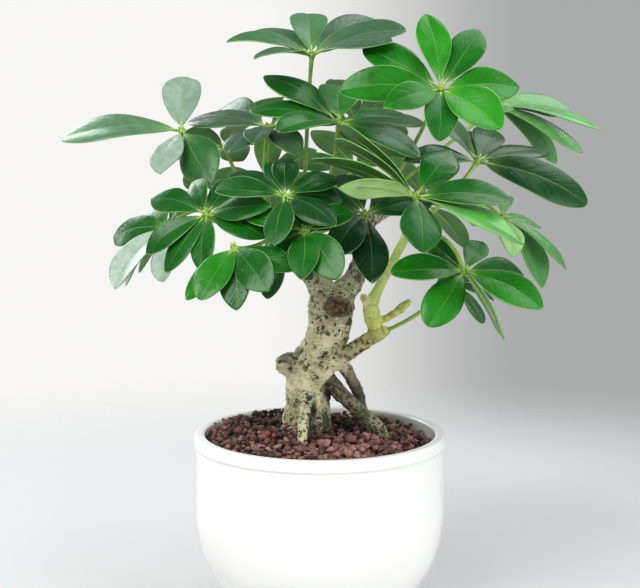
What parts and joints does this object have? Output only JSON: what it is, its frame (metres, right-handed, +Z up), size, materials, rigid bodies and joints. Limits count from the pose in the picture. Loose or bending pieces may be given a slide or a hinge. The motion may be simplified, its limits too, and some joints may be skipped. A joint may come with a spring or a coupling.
{
  "type": "potted umbrella plant",
  "caption": "Potted umbrella plant with a thick exposed-root trunk, palmate glossy fronds and a cover of lava gravel in a round white pot.",
  "frame": {"origin": "centre of the pot's flat foot, on the surface it stands on", "axes": "+Z up along the pot's axis, the plant's best side faces -Y, +X to the viewer's right"},
  "size_m": [0.344, 0.2802, 0.3781],
  "materials": {
    "glaze": "smooth white gloss glaze",
    "soil": "dark crumbly potting mix",
    "gravel": "matt porous red-brown lava granules",
    "bark": "pale cream-green bark with dark pits",
    "shoot": "waxy yellow-green young stem",
    "leaf": "waxy glossy green leaf"
  },
  "bodies": {
    "root": {"pot": "glaze", "soil": "soil", "gravel": "gravel", "trunk": "bark", "green_shoot": "shoot", "frond_crown": "leaf", "frond_bright": "leaf", "frond_far_right": "leaf", "frond_centre_top": "leaf", "frond_far_left": "leaf", "frond_upper_left": "leaf", "frond_left": "leaf", "frond_low_left": "leaf", "frond_front_centre": "leaf", "frond_front_left": "leaf", "frond_front_low": "leaf", "frond_heart": "leaf", "frond_shoot_tip": "leaf", "frond_right": "leaf", "frond_low_right": "leaf", "frond_right_back": "leaf", "frond_low_twig": "leaf", "frond_back_top": "leaf", "frond_back_left_high": "leaf", "frond_back_left_low": "leaf", "frond_back_mid_left": "leaf", "frond_back_mid_right": "leaf", "frond_back_low": "leaf", "frond_back_right": "leaf", "frond_under": "leaf"}
  },
  "joints": []
}
